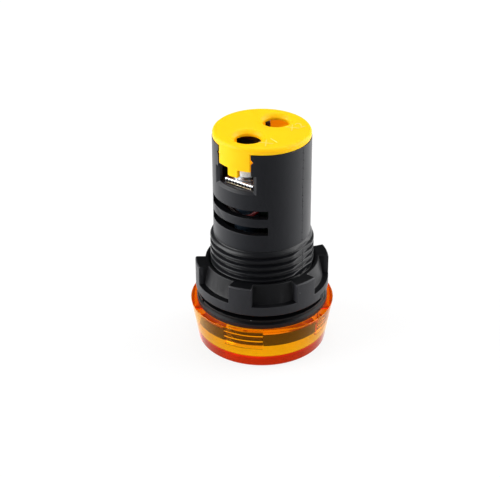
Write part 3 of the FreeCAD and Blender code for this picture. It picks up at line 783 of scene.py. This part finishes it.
def add_mark(shape, text, x, y, top):
    """A raised terminal mark on the cover's top."""
    curve = bpy.data.curves.new(text, "FONT")
    curve.body = text
    curve.size = MARK_SIZE
    curve.align_x = "CENTER"
    curve.align_y = "CENTER"
    curve.extrude = MARK_RAISED
    curve.offset = MARK_STROKE
    lettering = bpy.data.objects.new(text, curve)
    flat = bpy.data.meshes.new_from_object(lettering)
    flat.transform(Matrix.Translation((x, y, top)) @ Matrix.Rotation(MARK_TURN, 4, "Z"))
    shape.from_mesh(flat)
    bmesh.ops.remove_doubles(shape, verts=shape.verts, dist=0.001 * MM)
    bpy.data.objects.remove(lettering)
    bpy.data.meshes.remove(flat)
    bpy.data.curves.remove(curve)


cover_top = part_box("terminal_cover")[1].z
shape = copied_shape("terminal_cover")
for turn in (Matrix.Identity(3), Matrix.Rotation(math.pi, 3, "Z")):
    for side in (-1, 1):
        add_pip(shape, turn, side)
        add_hole_block(shape, turn, side)
face_outwards(shape)
cover = new_piece("finger_guard", shape, [yellow_plastic], "terminal_cover", "yellow_cover",
                  "terminal_cover")
round_edges(cover, COVER_EDGE, 3)
shape = bmesh.new()
for text, x, y in MARKS:
    add_mark(shape, text, x * MM, y * MM, cover_top)
face_outwards(shape)
new_piece("terminal_marks", shape, [raised_yellow], "terminal_cover", "yellow_cover")

# Gasket and ring nut
# A thin rubber ring seals the flange against the panel. The black plastic nut runs on the neck, turned by
# six lugs, with a ridged key at its lower edge. Both are dusty, and their upper faces are painted darker as
# shade.
RUBBER_BLACK = (0.007, 0.007, 0.008, 1)
NUT_BLACK = (0.019, 0.0195, 0.0235, 1)
RECESS_SHADE = (0.004, 0.0043, 0.006, 1)
RECESS_R = (13.2 * MM, 12.8 * MM)
UPPER_FACE = 0.9
DUST = (0.75, 0.75, 0.72, 1)
DUSTY_SHARE = 0.72
KEY_BEARING = math.radians(102)
KEY_R = 13.97 * MM
KEY_DEPTH = 0.5 * MM
KEY_Z = (11.85 * MM, 13.0 * MM)
KEY_RIDGES = 3
KEY_STEP = 0.9 * MM
KEY_GROOVE = 0.07 * MM
RIDGE_HALF = 0.3
dust_specks, given, made = new_group(
    "dust_specks",
    [
        ("Colour", "Color", BLACK), ("Dust Colour", "Color", DUST),
        ("Spacing", "Float", 1.2), ("Size", "Float", 0.06),
    ],
    [("Colour", "Color"), ("Mask", "Float")],
)
spot = object_spot(dust_specks)
fineness = maths(dust_specks, "DIVIDE", 1.0 / MM, given["Spacing"])
cells = place_node(dust_specks, "ShaderNodeTexVoronoi", {"Vector": spot, "Scale": fineness}).outputs
speck_size = maths(dust_specks, "DIVIDE", given["Size"], given["Spacing"])
near = maths(dust_specks, "LESS_THAN", cells["Distance"], speck_size)
chance = place_node(dust_specks, "ShaderNodeSeparateColor", {0: cells["Color"]}).outputs[0]
mask = maths(dust_specks, "MULTIPLY", near, maths(dust_specks, "GREATER_THAN", chance, DUSTY_SHARE))
speckled = mix_colour(dust_specks, mask, given["Colour"], given["Dust Colour"])
dust_specks.links.new(speckled, made.inputs["Colour"])
dust_specks.links.new(mask, made.inputs["Mask"])


def dusty(paint):
    """Lays the dust over a plastic that is already made."""
    tree = paint.node_tree
    body = shader_of(tree)
    under = body.inputs["Base Color"].links[0].from_socket
    specks = use_group(tree, dust_specks, {"Colour": under})
    tree.links.new(specks["Colour"], body.inputs["Base Color"])
    return paint


rubber = dusty(plastic("gasket_rubber", RUBBER_BLACK, 0.4, grain_size=0.3, grain_depth=0.006, wear=0.1,
                       Specular_IOR_Level=0.25))
nut_plastic = dusty(plastic("nut_moulding", NUT_BLACK, 0.48, RUBBED_BLACK, 0.14, 0.012,
                            Specular_IOR_Level=0.42))
# Painted shade: the nut's wall is darker between its lugs
tree = nut_plastic.node_tree
shade_between_lugs = ramp(tree, distance_from_axis(tree, coordinates(tree)), *RECESS_R)
paint_over(nut_plastic, shade_between_lugs, RECESS_SHADE)
for node, name, paint, slot, width in (
    ("gasket", "rubber_gasket", rubber, "gasket_rubber", 0.08),
    ("mounting_nut", "ring_nut", nut_plastic, "nut_moulding", 0.16),
):
    shape = copied_shape(node)
    for face in shape.faces:
        # Upper faces take the painted shade finish
        face.material_index = int(face.normal.z > UPPER_FACE)
    piece = new_piece(name, shape, [paint, painted_shade_plastic], node, slot, node)
    round_edges(piece, width * MM)


def add_block(shape, inner, outer, bearing, half_width, low, high):
    """A small upright block standing outwards at a bearing."""
    corners = ((inner, -half_width), (outer, -half_width), (outer, half_width), (inner, half_width))
    rings = []
    for z in (low, high):
        spots = [polar(radius, bearing + across / radius, z) for radius, across in corners]
        rings.append(new_ring(shape, spots))
    skin_rings(shape, rings, capped=True)


# The key's ridges take the painted shade finish of the gap under the nut
shape = bmesh.new()
for ridge in range(KEY_RIDGES):
    off_middle = (ridge - (KEY_RIDGES - 1) / 2) * KEY_STEP
    bearing = KEY_BEARING + off_middle / KEY_R
    add_block(shape, KEY_R - KEY_DEPTH, KEY_R, bearing, RIDGE_HALF * KEY_STEP, *KEY_Z)
key_half = 0.5 * KEY_RIDGES * KEY_STEP
add_block(shape, KEY_R - KEY_DEPTH, KEY_R - KEY_GROOVE, KEY_BEARING, key_half, *KEY_Z)
face_outwards(shape)
new_piece("nut_key", shape, [painted_shade_plastic], "mounting_nut", "nut_moulding")

# Lens: clear amber cup
# A thick-faced tapered cup, outlined here in millimetres, in polished clear amber with a frosted disc in
# its floor. Four toothed claws inside its rim, each above a thin rib, snap over the housing's skirt.
LENS_FRONT_R = 13.5
LENS_RIM_R = 15.0
LENS_H = 9.1
LENS_BORE_R = 12.85
LENS_FACE_T = 2.2
LENS_EDGE_R = 0.3
FLOOR_EDGE_R = 0.3
RIM_EDGE_R = 0.12
RIM_STEP_R = 13.45
RIM_STEP_Z = 8.0
CLAW_BEARING = 19.0
CLAW_ARC = 35.5
CLAW_COUNT = 4
CLAW_LOW = 4.8
TOOTH_H = 1.25
TOOTH_COUNT = 3
TOOTH_TIP_R = 12.2
TOOTH_ROOT_R = 12.55
TOOTH_FLAT = (0.3, 0.42)
RIB_Z = (4.05, 4.4)
RIB_R = 12.35
BEARING_STEP = 1.5
BEARING_HAIR = 0.02
AMBER = (1.0, 0.82, 0.3, 1)
AMBER_PASSED = (0.995, 0.947, 0.0, 1)
AMBER_DENSITY = 2700.0
FOOT_SHADE_AMBER = (0.6, 0.86, 0.3, 1)
FOOT_MIDDLE = 1.1
FOOT_HALF = 1.0
RIM_SHADE_AMBER = (0.7, 0.45, 0.25, 1)
RIM_SHADE_Z = (8.95 * MM, 9.05 * MM)
INNER_GLOW = (1.0, 0.33, 0.0, 1)
GLOW_Z = (3.0 * MM, 7.0 * MM)
GLOW_SHARE = (0.12, 0.25)
RIM_GLOW_Z = (8.9 * MM, 9.05 * MM)
RIM_GLOW = (0.0, 0.05)
WARM = (1.0, 0.7, 0.35, 1)
FROST_R = 6.2
FROST_LOW = 1.0
FROST = 0.3
POLISH = (0.015, 0.07)
RIPPLE_DEPTH = 0.05 * MM


def arc_points(centre_r, centre_z, radius, start, end, count):
    """Points along an arc in the outline, with angles in degrees from the outward direction."""
    angles = [math.radians(start + (end - start) * step / count) for step in range(count + 1)]
    return [(centre_r + radius * math.cos(a), centre_z + radius * math.sin(a)) for a in angles]


def lens_outline(in_claw):
    """The lens's section from the axis out along the front, up the wall, and back down inside."""
    taper = math.degrees(math.atan2(LENS_RIM_R - LENS_FRONT_R, LENS_H))
    rim_z = LENS_H - RIM_EDGE_R
    points = [(0, 0)]
    points += arc_points(LENS_FRONT_R - LENS_EDGE_R, LENS_EDGE_R, LENS_EDGE_R, -90, -taper, 5)
    points += arc_points(LENS_RIM_R - RIM_EDGE_R, rim_z, RIM_EDGE_R, -taper, 90, 3)
    points += arc_points(RIM_STEP_R + RIM_EDGE_R, rim_z, RIM_EDGE_R, 90, 180, 2)
    claw_top = CLAW_LOW + TOOTH_COUNT * TOOTH_H
    if in_claw:
        points += [(RIM_STEP_R, claw_top), (TOOTH_ROOT_R, claw_top)]
        for tooth in range(TOOTH_COUNT):
            upper = claw_top - tooth * TOOTH_H
            points += [(TOOTH_TIP_R, upper - share * TOOTH_H) for share in TOOTH_FLAT]
            points.append((TOOTH_ROOT_R, upper - TOOTH_H))
        points += [(LENS_BORE_R, CLAW_LOW), (LENS_BORE_R, RIB_Z[1]), (RIB_R, RIB_Z[1])]
        points += [(RIB_R, RIB_Z[0]), (LENS_BORE_R, RIB_Z[0])]
    else:
        # As many points as in a claw, so that the two outlines join
        plain_count = 3 * TOOTH_COUNT + 5
        points += [(RIM_STEP_R, RIM_STEP_Z), (LENS_BORE_R, RIM_STEP_Z)]
        fall = (RIM_STEP_Z - RIB_Z[0]) / plain_count
        points += [(LENS_BORE_R, RIM_STEP_Z - fall * (step + 1)) for step in range(plain_count)]
    points += arc_points(LENS_BORE_R - FLOOR_EDGE_R, LENS_FACE_T + FLOOR_EDGE_R, FLOOR_EDGE_R, 0, -90, 3)
    points.append((0, LENS_FACE_T))
    return points


def lens_bearings():
    """Even steps round the lens, with a close pair at each side of a claw. Gives (bearing, in a claw)."""
    rows = []
    for claw in range(CLAW_COUNT):
        middle = CLAW_BEARING + claw * 360 / CLAW_COUNT
        low, high = middle - CLAW_ARC / 2, middle + CLAW_ARC / 2
        inside = round(CLAW_ARC / BEARING_STEP)
        rows += [(low + CLAW_ARC * index / inside, True) for index in range(inside + 1)]
        gap = 360 / CLAW_COUNT - CLAW_ARC - 2 * BEARING_HAIR
        outside = round(gap / BEARING_STEP)
        rows += [(high + BEARING_HAIR + gap * index / outside, False) for index in range(outside + 1)]
    return rows


shape = bmesh.new()
columns = []
for bearing, in_claw in lens_bearings():
    turn = math.radians(bearing)
    columns.append(new_ring(shape, [polar(r * MM, turn, z * MM) for r, z in lens_outline(in_claw)]))
for here, there in zip(columns, columns[1:] + columns[:1]):
    for index in range(len(here) - 1):
        shape.faces.new((here[index], there[index], there[index + 1], here[index + 1]))
bmesh.ops.remove_doubles(shape, verts=shape.verts, dist=0.0002 * MM)
face_outwards(shape)

# Faint smears, the frosted disc, painted glows standing in for light mirrored inside the wall and scattered
# in the rim, and foot and rim tinted darker as painted shade
amber, tree = new_paint("amber_lens")
spot = object_spot(tree)
at = coordinates(tree)
from_axis = distance_from_axis(tree, at)
ripple = noise(tree, spot, 0.35, 2.0)
smears = ramp(tree, noise(tree, spot, 0.8, 4.0), 0.45, 0.75, *POLISH)
in_middle = maths(tree, "LESS_THAN", from_axis, FROST_R * MM)
frosted = maths(tree, "MULTIPLY", in_middle, maths(tree, "GREATER_THAN", at[2], FROST_LOW * MM))
smears = maths(tree, "MAXIMUM", smears, maths(tree, "MULTIPLY", frosted, FROST))
times_mirrored = place_node(tree, "ShaderNodeLightPath").outputs["Glossy Depth"]
mirrored_often = maths(tree, "GREATER_THAN", times_mirrored, 1.5)
glow = maths(tree, "MULTIPLY", mirrored_often, ramp(tree, at[2], *GLOW_Z, *GLOW_SHARE))
glow = maths(tree, "MULTIPLY", glow, maths(tree, "GREATER_THAN", from_axis, FROST_R * MM))
glow = maths(tree, "ADD", glow, ramp(tree, at[2], *RIM_GLOW_Z, *RIM_GLOW))
# Painted shade: the foot and the rim's top pass darker amber
in_foot = maths(tree, "COMPARE", at[2], FOOT_MIDDLE * MM, FOOT_HALF * MM)
tint = mix_colour(tree, in_foot, AMBER, FOOT_SHADE_AMBER)
tint = mix_colour(tree, ramp(tree, at[2], *RIM_SHADE_Z), tint, RIM_SHADE_AMBER)
passing = {"Color": AMBER_PASSED, "Density": AMBER_DENSITY}
absorption = place_node(tree, "ShaderNodeVolumeAbsorption", passing)
finish_paint(amber, {
    "Base Color": tint, "Roughness": smears, "Transmission Weight": 1.0, "IOR": 1.49,
    "Specular IOR Level": 0.4, "Specular Tint": WARM, "Normal": bumped(tree, ripple, 0.2, RIPPLE_DEPTH),
    "Emission Color": mix_colour(tree, glow, UNLIT, INNER_GLOW), "Emission Strength": 1.0,
}, absorption.outputs[0])
new_piece("amber_cup", shape, [amber], "root", "amber_lens", "lens")
